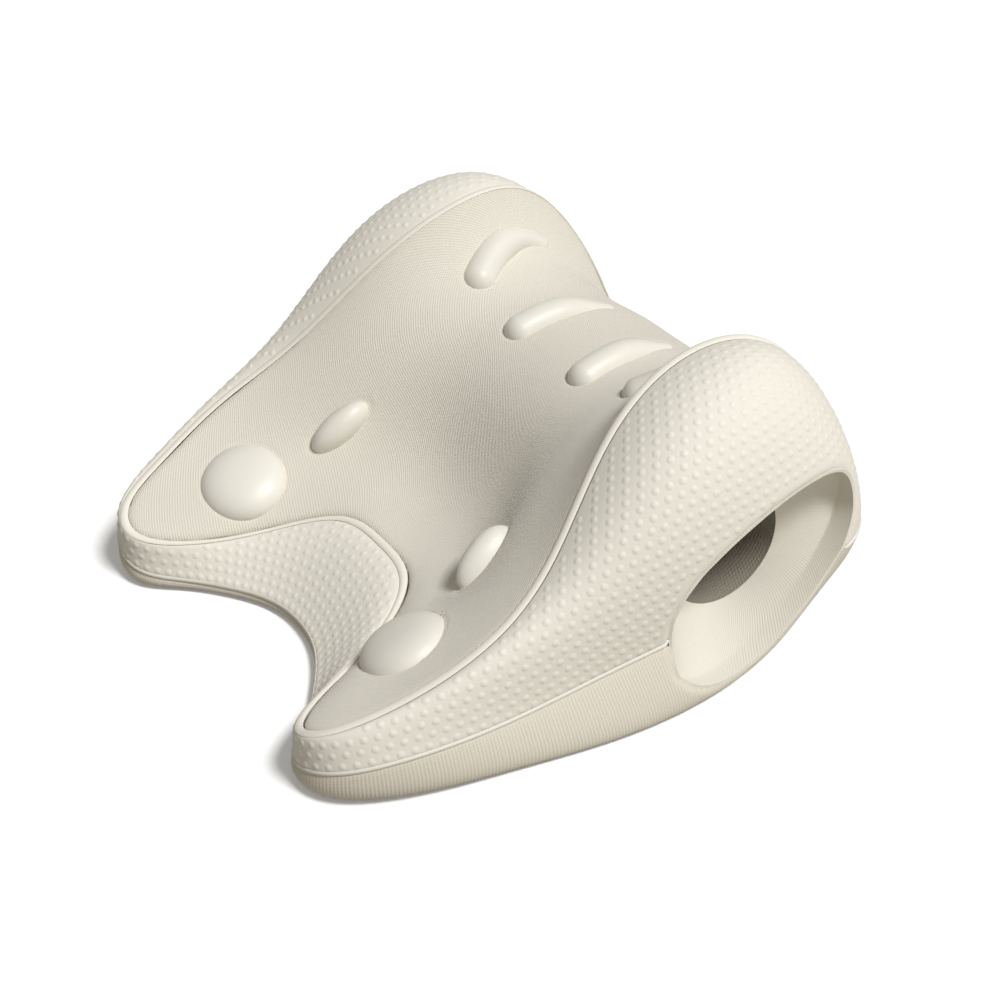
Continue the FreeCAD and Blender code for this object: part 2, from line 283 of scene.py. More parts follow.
def zip_rows(a, b):
    """Faces between two rows of vertices that run the same way, whatever their counts."""
    na, nb = len(a) - 1, len(b) - 1
    if na == nb:
        return [(a[i], b[i], b[i + 1], a[i + 1]) for i in range(na)]
    faces, i, j = [], 0, 0
    while i < na or j < nb:
        next_a = (i + 1) / na if i < na else 2
        next_b = (j + 1) / nb if j < nb else 2
        if abs(next_a - next_b) < 1e-9:
            faces.append((a[i], b[j], b[j + 1], a[i + 1]))
            i, j = i + 1, j + 1
        elif next_a < next_b:
            faces.append((a[i], b[j], a[i + 1]))
            i += 1
        else:
            faces.append((a[i], b[j], b[j + 1]))
            j += 1
    return faces


class Band:
    """Vertices over the ring between two columns of the plan, one column of them at each stop."""

    def __init__(self, ring, first, last, s, spacing=None, rows=None):
        poles = ring.sections(s)[:, first:last + 1]
        v = np.linspace(0, 1, 49)
        run = running_length(bezier(poles[:, None], np.broadcast_to(v, (len(s), len(v)))))
        width = run[:, -1]
        counts = np.full(len(s), rows) if rows else np.maximum(3, np.ceil(width / spacing)).astype(int)
        column = np.repeat(np.arange(len(s)), counts + 1)
        self.start = np.concatenate([[0], np.cumsum(counts + 1)])
        step = np.arange(len(column)) - self.start[column]
        self.t = step / counts[column] * width[column]
        at = np.empty(len(column))
        for i in range(len(s)):
            own = slice(self.start[i], self.start[i + 1])
            at[own] = np.interp(self.t[own], run[i], v)
        self.points = bezier(poles[column], at)
        ahead = bezier(ring.sections(s + TANGENT_REACH)[column, first:last + 1], at)
        behind = bezier(ring.sections(s - TANGENT_REACH)[column, first:last + 1], at)
        down = bezier(poles[column], at + 1e-3) - bezier(poles[column], at - 1e-3)
        self.normals = unit(np.cross(ahead - behind, down))
        self.s = s[column]
        self.width = width[column]

    def faces(self, offset=0):
        count = len(self.start) - 1
        found = []
        for i in range(count):
            j = (i + 1) % count
            a = range(self.start[i] + offset, self.start[i + 1] + offset)
            b = range(self.start[j] + offset, self.start[j + 1] + offset)
            found += zip_rows(a, b)
        return found

    def rim(self, lower, offset=0):
        """Loop of vertices along the top or the lower edge, with its first vertex again at the end."""
        loop = (self.start[1:] - 1 if lower else self.start[:-1]) + offset
        return list(loop) + [loop[0]]


def grid_faces(rows, cols, offset=0):
    index = np.arange(rows * cols).reshape(rows, cols) + offset
    faces = np.stack([index[:-1, :-1], index[1:, :-1], index[1:, 1:], index[:-1, 1:]], axis=-1)
    return [tuple(f) for f in faces.reshape(-1, 4)]


def grid_sides(rows, cols, offset=0):
    """Vertices along a grid's front, left, back and right, each side running on from the last."""
    index = np.arange(rows * cols).reshape(rows, cols) + offset
    return [list(index[0]), list(index[:, -1]), list(index[-1][::-1]), list(index[::-1, 0])]


def ring_faces(turns, rows):
    """Faces of a grid of vertices whose last column joins its first."""
    faces = []
    for i in range(turns):
        j = (i + 1) % turns
        faces += zip_rows(range(i * rows, (i + 1) * rows), range(j * rows, (j + 1) * rows))
    return faces


def add_object(name, data):
    obj = bpy.data.objects.new(name, data)
    bpy.context.scene.collection.objects.link(obj)
    return obj


def add_mesh(name, points, faces):
    """A new mesh object. Points are millimetres."""
    mesh = bpy.data.meshes.new(name)
    mesh.from_pydata((np.asarray(points) * MM).tolist(), [], [tuple(int(i) for i in f) for f in faces])
    return add_object(name, mesh)


def lay_cloth(mesh, uv, around):
    """Give the mesh its cloth coordinates. Faces that close a ring read on past the end of the cloth."""
    corner = np.empty(len(mesh.loops), np.int32)
    mesh.loops.foreach_get("vertex_index", corner)
    cloth = np.asarray(uv, np.float32)[corner]
    if around:
        start = np.empty(len(mesh.polygons), np.int32)
        mesh.polygons.foreach_get("loop_start", start)
        corners = np.diff(np.append(start, len(corner)))
        furthest = np.repeat(np.maximum.reduceat(cloth[:, 0], start), corners)
        cloth[:, 0] += around * (furthest - cloth[:, 0] > around / 2)
    layer = mesh.uv_layers.new(name="cloth_mm")
    layer.data.foreach_set("uv", cloth.ravel())


def new_object(name, points, faces, stands_for, uv=None, values=None, around=None):
    """A smooth-shaded mesh object on the root body. Points are millimetres, uv is millimetres of cloth.

    On a ring, around is the length of cloth once round it.
    """
    obj = add_mesh(name, points, faces)
    if uv is not None:
        lay_cloth(obj.data, uv, around)
    for key, value in (values or {}).items():
        attribute = obj.data.attributes.new(key, "FLOAT", "POINT")
        attribute.data.foreach_set("value", np.asarray(value, np.float32))
    finish_mesh(obj)
    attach(obj, "root")
    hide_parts(stands_for)
    return obj


def finish_mesh(obj):
    """Outward normals, smooth shading, and creases only where the faces turn sharply."""
    work = bmesh.new()
    work.from_mesh(obj.data)
    bmesh.ops.recalc_face_normals(work, faces=work.faces)
    work.to_mesh(obj.data)
    work.free()
    obj.data.polygons.foreach_set("use_smooth", [True] * len(obj.data.polygons))
    obj.data.set_sharp_from_angle(angle=math.radians(50))


def apply_modifiers(obj):
    view = bpy.context.evaluated_depsgraph_get()
    shown = obj.evaluated_get(view)
    made = bpy.data.meshes.new_from_object(shown, preserve_all_data_layers=True, depsgraph=view)
    obj.modifiers.clear()
    obj.data = made
    finish_mesh(obj)


def cut(obj, cutters):
    for i, cutter in enumerate(cutters):
        modifier = obj.modifiers.new("cut" + str(i), "BOOLEAN")
        modifier.operation = "DIFFERENCE"
        modifier.object = cutter
        modifier.solver = "MANIFOLD"
    apply_modifiers(obj)


# ---- tunnel mouth ----

LEVEL = unit(np.array([-MOUTH_SLOPE, 1.0, 0.0]))
ALONG = LEVEL * math.cos(MOUTH_TILT) + np.array([0, 0, 1]) * math.sin(MOUTH_TILT)
ACROSS = np.array([0, 0, 1]) * math.cos(MOUTH_TILT) - LEVEL * math.sin(MOUTH_TILT)
MOUTH = np.array([MOUTH_FRONT_X - MOUTH_SLOPE * (MOUTH_Y - MOUTH_FRONT_Y), MOUTH_Y, MOUTH_Z]) + SHIFT


def mouth_gap(points, extra=0.0):
    """How far points lie outside the tunnel's flare, seen from the side. Inside is negative."""
    x = np.abs(points[:, 0])
    plane = MOUTH[0] - MOUTH_SLOPE * (points[:, 1] - MOUTH[1])
    flared = np.clip((x - BORE_HALF) / (plane - BORE_HALF), 0, 1)[:, None]
    centre = BORE[1:] * (1 - flared) + MOUTH[1:] * flared
    half = BORE_RADIUS * (1 - flared) + np.array([MOUTH_HALF_LENGTH, MOUTH_HALF_HEIGHT]) * flared + extra
    axes = np.stack([ALONG[1:], ACROSS[1:]], axis=1)
    scaled = (points[:, 1:] - centre) @ np.linalg.inv(axes).T / half
    q = np.maximum(np.linalg.norm(scaled, axis=1), 1e-6)
    gap = (q - 1) * q / np.linalg.norm(scaled / half, axis=1)
    return np.where(x > MOUTH_ZONE_X, gap, 1e3)


def quarter_round(distance, width, depth):
    """How deep an edge has rolled in at a distance from it: all of depth at the edge, nothing at width."""
    t = np.clip(1 - distance / width, 0, 1)
    return depth * (1 - np.sqrt(np.maximum(1 - t * t, 0)))


def mouth_roll(gap):
    """How deep the skins have rolled in at a distance from a mouth."""
    return np.where(gap > 0, quarter_round(gap, ROLL_WIDTH, ROLL_DEPTH), ROLL_DEPTH)


def round_bore(x, radius, angle):
    """Points at a radius and an angle round the tunnel's axis."""
    return np.stack([x, BORE[1] + radius * np.cos(angle), BORE[2] + radius * np.sin(angle)], axis=-1)


def mouth_outline(extra, turns=240):
    """Points round the oval mouth, and their partners round the end of the bore."""
    angle = full_turn(turns)
    rim = np.outer(np.cos(angle) * (MOUTH_HALF_LENGTH + extra), ALONG) + MOUTH
    rim += np.outer(np.sin(angle) * (MOUTH_HALF_HEIGHT + extra), ACROSS)
    return rim, round_bore(np.full(turns, BORE_HALF), BORE_RADIUS + extra, angle + MOUTH_TILT)


def mouth_cutters():
    """The space of the flare, carried on outwards past the side, for the right and the left."""
    rim, start = mouth_outline(LINER)
    n = len(rim)
    loops = np.concatenate([start, rim, rim + (CLEARANCE, 0, 0)])
    faces = [tuple(range(n)), tuple(range(3 * n - 1, 2 * n - 1, -1))]
    for k in (0, n):
        faces += zip_rows([*range(k, k + n), k], [*range(k + n, k + 2 * n), k + n])
    made = []
    for side in (1, -1):
        cutter = add_mesh("cutter", loops * (side, 1, 1), faces)
        finish_mesh(cutter)
        made.append(cutter)
    return made


# ---- skins ----

def nearest(places, points):
    """Distance from each point to the nearest of the places, and which of them that is."""
    tree = KDTree(len(places))
    for i, p in enumerate(places):
        tree.insert(p, i)
    tree.balance()
    found = [tree.find(p)[1:] for p in points]
    return np.array([d for _, d in found]), np.array([i for i, _ in found])


def dot_centres(ring):
    """Staggered places over the band, on rows that keep their distance from the seam."""
    pitch = ring.length / round(ring.length / DOT_PITCH)
    row = pitch * 0.86
    centres = []
    for half in (0, 1):
        s = (np.arange(round(ring.length / pitch)) + half / 2) * pitch
        poles = ring.sections(s)[:, BAND[0]:BAND[1] + 1]
        v = np.linspace(0, 1, 49)
        curve = bezier(poles[:, None], np.broadcast_to(v, (len(s), len(v))))
        run = running_length(curve)
        for i in range(len(s)):
            from_seam = run[i, -1] - run[i]
            t = DOT_RADIUS + DOT_MARGIN / 2 + half * row
            while t < run[i, -1] - DOT_RADIUS - DOT_MARGIN / 2:
                at = np.interp(-t, -from_seam, v)
                centres.append(bezier(poles[i], np.array(at)))
                t += 2 * row
    return np.array(centres)


def dots(near):
    """Height of the dots, 0 to 1, at a distance from the nearest centre, with a faint dip round each."""
    button = smoothstep(DOT_RADIUS + 0.1, DOT_RADIUS - 0.75, near) * (1 - 0.12 * (near / DOT_RADIUS) ** 2)
    dip = 0.12 * np.exp(-((near - DOT_RADIUS - 0.45) / 0.4) ** 2)
    return button - dip


def side_band(ring, cutters):
    """The band as a closed skin: a fine outer face with its dots and rolled edges, and a plain inner one."""
    coarse = ring.stops(6.0)
    spans = zip(ring.corners, ring.corners[1:], coarse)
    fine = [np.linspace(a, b, 12 * len(own) + 1)[:-1] for a, b, own in spans]
    outer = Band(ring, *BAND, np.concatenate(fine), spacing=0.52)
    inner = Band(ring, *BAND, np.concatenate(coarse), rows=10)
    centres = dot_centres(ring)
    centres = centres[mouth_gap(centres) > DOT_RADIUS + 3.0]
    near, _ = nearest(centres, outer.points)
    gap = mouth_gap(outer.points, LINER)
    edge = np.minimum(np.minimum(outer.t, outer.width - outer.t), gap)
    lift = DOT_HEIGHT * dots(near) - mouth_roll(gap)
    lift = lift - quarter_round(outer.t, 1.5, 0.45) - quarter_round(outer.width - outer.t, 1.0, 0.2)
    face, back = outer.points + outer.normals * lift[:, None], inner.points - inner.normals * SKIN
    offset = len(face)
    faces = outer.faces() + [f[::-1] for f in inner.faces(offset)]
    for lower in (False, True):
        faces += zip_rows(outer.rim(lower), inner.rim(lower, offset))
    uv = np.concatenate([np.stack([outer.s, outer.t], 1), np.stack([inner.s, inner.t], 1)])
    # The edge value is painted shade: it darkens the band within 1.8 mm of the lip, the seam and the mouths.
    values = {"near": np.minimum(near, 4), "edge": smoothstep(1.8, 0, edge)}
    values = {key: np.append(v, np.zeros(len(back))) for key, v in values.items()}
    points = np.concatenate([face, back])
    band = new_object("side_band_skin", points, faces, "side_band", uv, values)
    cut(band, cutters)
    return band


def flat_curves(ring, s_sides, z):
    """The four edges of the underside, each from one corner to the next, at a height."""
    sides = []
    for k, own in enumerate(s_sides):
        s = np.append(own, ring.corners[k + 1] - 1e-6)
        edge = ring.sections(s)[:, -1]
        edge[:, 2] = z
        sides.append(edge)
    return sides


def resample(curve, count):
    run = running_length(curve)
    return read_off(np.linspace(0, run[-1], count), run, curve)


def fill_flat(ring, s_sides, rim, z, rows, cols, offset):
    """Vertices and faces that fill the underside inside a loop of vertices."""
    notch, left, back, right = flat_curves(ring, s_sides, z)
    net = spread(resample(notch, cols), resample(back, cols)[::-1], resample(right, rows)[::-1],
                 resample(left, rows))
    inside = net[1:-1, 1:-1]
    r, c = rows - 2, cols - 2
    faces = grid_faces(r, c, offset)
    first = 0
    for own, side in zip(s_sides, grid_sides(r, c, offset)):
        faces += zip_rows(rim[first:first + len(own) + 1], side)
        first += len(own)
    return inside.reshape(-1, 3), faces


def base_panel(ring, cutters):
    per_cell = 6
    fine_sides = ring.stops(RIB_PITCH / 4, 4 * per_cell)
    coarse_sides = [own[::4 * per_cell] for own in fine_sides]
    outer = Band(ring, *BASE, np.concatenate(fine_sides), spacing=1.3)
    inner = Band(ring, *BASE, np.concatenate(coarse_sides), rows=8)
    index = np.repeat(np.arange(len(outer.start) - 1), np.diff(outer.start))
    rib = np.cos(index * math.pi / 2)
    gap = mouth_gap(outer.points, LINER)
    fade = smoothstep(0.3, 1.6, outer.t) * smoothstep(0.2, 2.5, outer.points[:, 2])
    lift = RIB_HEIGHT * rib * fade
    lift = lift - quarter_round(outer.t, 1.0, 0.2) - mouth_roll(gap)
    lift = np.where(outer.points[:, 2] < 1.0, 0, lift)
    points = [outer.points + outer.normals * lift[:, None], inner.points - inner.normals * SKIN]
    points[0][:, 2] = np.maximum(points[0][:, 2], 0)
    points[1][:, 2] = np.maximum(points[1][:, 2], SKIN)
    offset = len(outer.points)
    faces = outer.faces() + inner.faces(offset) + zip_rows(outer.rim(False), inner.rim(False, offset))
    count = offset + len(inner.points)
    for sides, band, start, z, rows, cols in ((fine_sides, outer, 0, 0.0, 60, 50),
                                              (coarse_sides, inner, offset, SKIN, 20, 16)):
        more, found = fill_flat(ring, sides, band.rim(True, start), z, rows, cols, count)
        points.append(more)
        faces += found
        count += len(more)
    points = np.concatenate(points)
    uv = points[:, :2].copy()
    uv[:offset] = np.stack([outer.s, outer.t], 1)
    # raised also darkens the cloth between the ribs, as painted shade.
    raised = np.full(len(points), 0.5)
    raised[:offset] = 0.5 + 0.5 * rib * fade
    base = new_object("base_panel_skin", points, faces, "base_panel", uv, {"raised": raised})
    cut(base, cutters)
    return base


def tube(s, centre, across, up, half_width, half_height, sides=20):
    """Closed cord round the object, bell-shaped above so that it runs out softly into the cloth."""
    angle = full_turn(sides)
    wide = half_width * np.cos(angle)[None]
    high = half_height * (np.sign(np.sin(angle)) * np.abs(np.sin(angle)) ** 1.6)[None]
    points = centre[:, None] + across[:, None] * wide[..., None] + up[:, None] * high[..., None]
    n = len(s)
    index = np.arange(n * sides).reshape(n, sides)
    a, b = index, np.roll(index, -1, axis=0)
    faces = np.stack([a, b, np.roll(b, -1, axis=1), np.roll(a, -1, axis=1)], axis=-1).reshape(-1, 4)
    run = np.broadcast_to(s[:, None], (n, sides))
    turn = np.broadcast_to(angle * 1.5, (n, sides))
    uv = np.stack([run, turn], axis=-1).reshape(-1, 2)
    return points.reshape(-1, 3), faces, uv


def cord_frame(ring, s, first, last):
    poles = ring.sections(s)
    middle = (poles[:, first] + poles[:, last]) / 2
    ahead, behind = ring.sections(s + TANGENT_REACH), ring.sections(s - TANGENT_REACH)
    tangent = unit((ahead[:, first] + ahead[:, last]) - (behind[:, first] + behind[:, last]))
    across = unit(poles[:, last] - poles[:, first])
    up = unit(np.cross(tangent, across))
    return middle, across, up


def rim_piping(ring):
    s = np.concatenate(ring.stops(0.8))
    middle, across, up = cord_frame(ring, s, *LIP)
    points, faces, uv = tube(s, middle, across, up, 1.7, 0.7)
    return new_object("rim_piping_lip", points, faces, "rim_piping", uv)


def seam_welt(ring, cutters):
    s = np.concatenate(ring.stops(0.5))
    middle, across, up = cord_frame(ring, s, *WELT)
    drop = 0.1 + mouth_roll(mouth_gap(middle, LINER))
    points, faces, uv = tube(s, middle - up * drop[:, None], across, up, 0.95, 0.5, sides=12)
    welt = new_object("seam_welt_cord", points, faces, "seam_welt", uv)
    cut(welt, cutters)
    return welt


# ---- centre panel and nodes ----

class Panel:
    """The centre panel's spline surface."""

    def __init__(self, net):
        self.net = net
        rows, cols = 160, 130
        points = self.grid(rows, cols).reshape(-1, 3).tolist()
        self.tree = BVHTree.FromPolygons(points, grid_faces(rows, cols))

    def grid(self, rows, cols):
        along = basis(self.net.shape[0], np.linspace(0, 1, rows))
        across = basis(self.net.shape[1], np.linspace(0, 1, cols))
        return np.einsum("ui,ijc,vj->uvc", along, self.net, across)

    def at(self, x, y):
        """The panel's place and normal above or below a place in plan."""
        place, normal, _, _ = self.tree.ray_cast(Vector((x, y, 400)), Vector((0, 0, -1)))
        normal = np.array(normal)
        return np.array(place), normal if normal[2] > 0 else -normal


def grid_normals(points):
    down = np.gradient(points, axis=0)
    across = np.gradient(points, axis=1)
    return unit(np.cross(down, across))


def centre_panel(panel, ring, nodes):
    rows, cols = 330, 270
    inner_rows, inner_cols = 56, 46
    points = panel.grid(rows, cols)
    normals = grid_normals(points)
    flat = points.reshape(-1, 3)
    lips = ring.sections(np.concatenate(ring.stops(0.8)))[:, 0]
    edge, _ = nearest(lips, flat)
    low = smoothstep(75, 35, flat[:, 2])
    lift = -quarter_round(edge, 2.2 + 2.0 * low, 0.4 + 1.0 * low)
    for node in nodes:
        lift = lift - node.dent(flat)
    middle = cols // 2
    u = running_length(points)
    u = u - u[:, middle:middle + 1]
    v = np.broadcast_to(running_length(points[:, middle])[:, None], u.shape)
    inner = panel.grid(inner_rows, inner_cols)
    inner_points = (inner - grid_normals(inner) * SKIN).reshape(-1, 3)
    offset = len(flat)
    faces = grid_faces(rows, cols) + [f[::-1] for f in grid_faces(inner_rows, inner_cols, offset)]
    for a, b in zip(grid_sides(rows, cols), grid_sides(inner_rows, inner_cols, offset)):
        faces += zip_rows(a, b)
    all_points = np.concatenate([flat + normals.reshape(-1, 3) * lift[:, None], inner_points])
    uv = np.concatenate([np.stack([u, v], axis=-1).reshape(-1, 2), inner_points[:, :2]])
    # The edge value is painted shade: it darkens the cloth within 3 mm of the panel's edge, along the lip.
    shade = np.concatenate([smoothstep(3.0, 0, edge), np.zeros(len(inner_points))])
    values = {"edge": shade}
    return new_object("centre_panel_skin", all_points, faces, "centre_panel", uv, values)


def pocket(inside):
    """How deep the cloth dips, inside a node's outline: a faint gutter round it, a pocket under it."""
    gutter = 0.35 * np.exp(-((inside + 0.5) / 0.7) ** 2)
    return gutter + 1.6 * smoothstep(0.4, 2.0, inside)


class Dome:
    """A domed massage node, an ellipsoid cap seated in the panel."""

    def __init__(self, name, panel, half):
        low, high = (np.array(corner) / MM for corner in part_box(name))
        self.name = name
        self.centre = (low + high) / 2
        place, self.normal = panel.at(self.centre[0], self.centre[1])
        self.half = np.array(half)
        turn = Vector((0, 0, 1)).rotation_difference(Vector(self.normal)).to_matrix()
        self.axes = np.array(turn)
        self.sink = float((place - self.centre) @ self.normal)

    def local(self, points):
        return (points - self.centre) @ self.axes

    def dent(self, points):
        local = self.local(points)
        outline = self.half[:2] * math.sqrt(1 - (self.sink / self.half[2]) ** 2)
        q = np.linalg.norm(local[:, :2] / outline, axis=1)
        return pocket(np.where(np.abs(local[:, 2] - self.sink) < 12, (1 - q) * outline.min(), -99))

    def build(self):
        sides, rings = 96, 30
        angle = full_turn(sides)
        tilt = np.linspace(0, math.pi / 2, rings)[1:]
        circle = np.stack([np.cos(angle), np.sin(angle), np.ones(sides)], 1)
        top = [circle * (math.sin(a), math.sin(a), math.cos(a)) for a in tilt]
        skirt = [circle * (r, r, -0.05) for r in (0.97, 0.6)]
        local = np.concatenate([[[0, 0, 1]], *top, *skirt, [[0, 0, -0.05]]])
        around = np.linalg.norm(local[:, :2], axis=1, keepdims=True)
        local[:, :2] *= np.maximum(around, 1e-9) ** (DOME_SQUARE - 1)
        local[:, 2] = np.sign(local[:, 2]) * np.abs(local[:, 2]) ** DOME_SQUARE
        local *= self.half
        points = local @ self.axes.T + self.centre
        loops = [[1 + sides * k + i for i in range(sides)] for k in range(len(tilt) + 2)]
        faces = loft(0, loops, len(points) - 1)
        return new_object(self.name + "_pad", points, faces, self.name)


def loft(first_tip, loops, last_tip):
    """Faces of a closed body through loops of vertices, drawn together to a tip at either end."""
    faces = []
    for tip, loop in ((first_tip, loops[0]), (last_tip, loops[-1][::-1])):
        faces += [(tip, a, b) for a, b in zip(loop, loop[1:] + loop[:1])]
    for a, b in zip(loops[:-1], loops[1:]):
        faces += zip_rows(a + a[:1], b + b[:1])
    return faces


class Ridge:
    """A long rounded massage node over the hump, full at its front and sinking into the cloth at its back."""

    def __init__(self, name, panel, places):
        self.name = name
        low, high = (np.array(corner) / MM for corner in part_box(name))
        side = math.copysign(1, low[0] + high[0])
        half = 30
        along = np.linspace(-1, 1, 2 * half + 1)
        plan = resample(np.array([(side * x, y, 0.0) for x, y in places]), len(along))
        for c in range(2):
            parabola = np.polyfit(along[::half], plan[::half, c], 2)
            plan[:, c] = np.polyval(parabola, along)
        plan += (low + high) / 2 * (1, 1, 0) - (plan.min(axis=0) + plan.max(axis=0)) / 2
        found = [panel.at(x, y) for x, y, _ in plan]
        self.path = np.array([place for place, _ in found])
        self.up = np.array([normal for _, normal in found])
        for _ in range(60):
            self.up[1:-1] = unit(self.up[:-2] + self.up[1:-1] * 2 + self.up[2:])
        self.t = np.linspace(0, 1, len(self.path))

    def size(self, t):
        """Radius, depth of the centre and half width at the panel's face, along the ridge."""
        late = smoothstep(0.4, 1, t)
        radius = RIDGE_RADIUS * (1 - 0.35 * late)
        sink = RIDGE_SINK + 1.6 * late
        return radius, sink, np.sqrt(radius ** 2 - sink ** 2)

    def dent(self, points):
        run = np.linspace(0, 1, 241)
        distance, index = nearest(read_off(run, self.t, self.path), points)
        return pocket(self.size(run[index])[2] - distance)

    def build(self):
        run = running_length(self.path)
        turn = np.linspace(0, math.pi / 2, 18)
        first_radius, last_radius = self.size(np.array([0.0, 1.0]))[0]
        before, after = -first_radius * np.cos(turn), run[-1] + last_radius * np.sin(turn)
        at = np.concatenate([before[1:], np.linspace(0, run[-1], 100)[1:-1], after[:-1]])
        over = np.clip(at, 0, run[-1])
        radius, sink, _ = self.size(over / run[-1])
        centre, up = read_off(over, run, self.path), unit(read_off(over, run, self.up))
        tangent = unit(np.gradient(centre, axis=0) + 1e-9)
        first, last = unit(self.path[1] - self.path[0]), unit(self.path[-1] - self.path[-2])
        tangent[at <= 0], tangent[at >= run[-1]] = first, last
        centre = centre + tangent * (at - over)[:, None] - up * sink[:, None]
        width = np.sqrt(np.maximum(radius ** 2 - (at - over) ** 2, 0))
        across = unit(np.cross(tangent, up))
        sides = 48
        angle = full_turn(sides)
        height = np.where(np.sin(angle) > 0, 1.0, 0.12) * np.sin(angle)
        points = centre[:, None] + across[:, None] * (width[:, None] * np.cos(angle))[..., None]
        points = points + up[:, None] * (width[:, None] * height)[..., None]
        tips = [centre[0] - first * 0.05, centre[-1] + last * 0.05]
        points = np.concatenate([points.reshape(-1, 3), tips])
        loops = [[sides * k + i for i in range(sides)] for k in range(len(at))]
        faces = loft(len(points) - 2, loops, len(points) - 1)
        return new_object(self.name + "_pad", points, faces, self.name)


# ---- tunnel linings ----

def body_surface(ring):
    """Lookup tree of the bare outer side, for trimming the funnels."""
    points, faces, count = [], [], 0
    for columns in (BAND, WELT, BASE):
        band = Band(ring, *columns, np.concatenate(ring.stops(1.5)), rows=40)
        faces += band.faces(count)
        points.append(band.points)
        count += len(band.points)
    return BVHTree.FromPolygons(np.concatenate(points).tolist(), faces)


def last_inside(path, tree):
    """Index of the last place on a path that is under the body's surface, looking out to the side."""
    for i, p in enumerate(path):
        hit = tree.ray_cast(Vector((MOUTH_ZONE_X, p[1], p[2])), Vector((1, 0, 0)))[0]
        if hit is None or p[0] > hit[0] - 0.5:
            return max(i - 1, 2)
    return len(path) - 1


def whole_turns(length, pitch):
    """The length nearest to this one that holds a whole number of pitches."""
    return round(length / pitch) * pitch


def ring_cloth(around, run):
    """Cloth coordinates of a ring's grid: length of cloth round it, and the run from its first edge."""
    at = np.linspace(0, around, len(run) + 1)[:-1, None]
    return np.stack([np.broadcast_to(at, run.shape), run], -1).reshape(-1, 2)


def funnel(node, side, tree):
    """Flared lining from the bore to the mouth, ending just under the skins' rolled edge."""
    turns, samples, rows = 240, 90, 46
    rim, start = mouth_outline(0.0, turns)
    tau = np.linspace(0, 1, samples)[None, :, None]
    flare = start[:, None] * (1 - tau) + rim[:, None] * tau
    beyond = rim[:, None] + np.array([1.0, 0, 0]) * np.linspace(0.5, 30, samples)[None, :, None]
    path = np.concatenate([flare, beyond], axis=1)
    run = running_length(path)
    stop = np.array([run[i, last_inside(path[i], tree)] for i in range(turns)])
    stop = np.minimum(stop, np.minimum(np.roll(stop, 2), np.roll(stop, -2)))
    for _ in range(8):
        stop = (np.roll(stop, 1) + 2 * stop + np.roll(stop, -1)) / 4
    made = np.empty((turns, rows, 3))
    for i in range(turns):
        made[i] = read_off(np.linspace(0, stop[i], rows), run[i], path[i])
    made = made * np.array([side, 1.0, 1.0])
    around = whole_turns(math.pi * (MOUTH_HALF_LENGTH + MOUTH_HALF_HEIGHT), FUNNEL_TWILL)
    uv = ring_cloth(around, running_length(made))
    faces = ring_faces(turns, rows)
    points = made.reshape(-1, 3)
    flared = new_object(node + "_lining", points, faces, node, uv, None, around)
    thicken(flared, LINER, BORE + np.array([side * BORE_HALF, 0, 0]))
    return flared


def thicken(obj, thickness, inside):
    """Give an open lining its thickness, away from a point on its open side."""
    face = obj.data.polygons[len(obj.data.polygons) // 2]
    towards = (Vector(inside) * MM - face.center).dot(face.normal)
    modifier = obj.modifiers.new("thickness", "SOLIDIFY")
    modifier.thickness = thickness * MM
    modifier.offset = -1 if towards > 0 else 1
    modifier.use_even_offset = True
    apply_modifiers(obj)


def bore_sleeve():
    turns, steps = 120, 500
    x = np.broadcast_to(np.linspace(-BORE_HALF, BORE_HALF, steps), (turns, steps))
    radius = BORE_RADIUS + GROOVE_DEPTH / 2 * (1 - np.cos(2 * math.pi * x / GROOVE_PITCH))
    points = round_bore(x, radius, full_turn(turns)[:, None])
    around = whole_turns(2 * math.pi * BORE_RADIUS, BORE_TWILL)
    uv = ring_cloth(around, x)
    faces = ring_faces(turns, steps)
    sleeve = new_object("bore_lining_sleeve", points.reshape(-1, 3), faces, "bore_sleeve", uv,
                        None, around)
    thicken(sleeve, LINER, BORE)
    return sleeve


def foam_body():
    """The moulded foam inside, with an even mesh in place of the CAD's facets."""
    foam = add_object("foam_body", frame["nodes"]["foam_core"].data.copy())
    modifier = foam.modifiers.new("even", "REMESH")
    modifier.mode = "VOXEL"
    modifier.voxel_size = 2.0 * MM
    shrink = foam.modifiers.new("shrink", "DISPLACE")
    shrink.strength = -0.8 * MM
    shrink.mid_level = 0
    apply_modifiers(foam)
    foam.data.materials.clear()
    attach(foam, "root")
    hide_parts("foam_core")
    return foam


# ---- materials ----

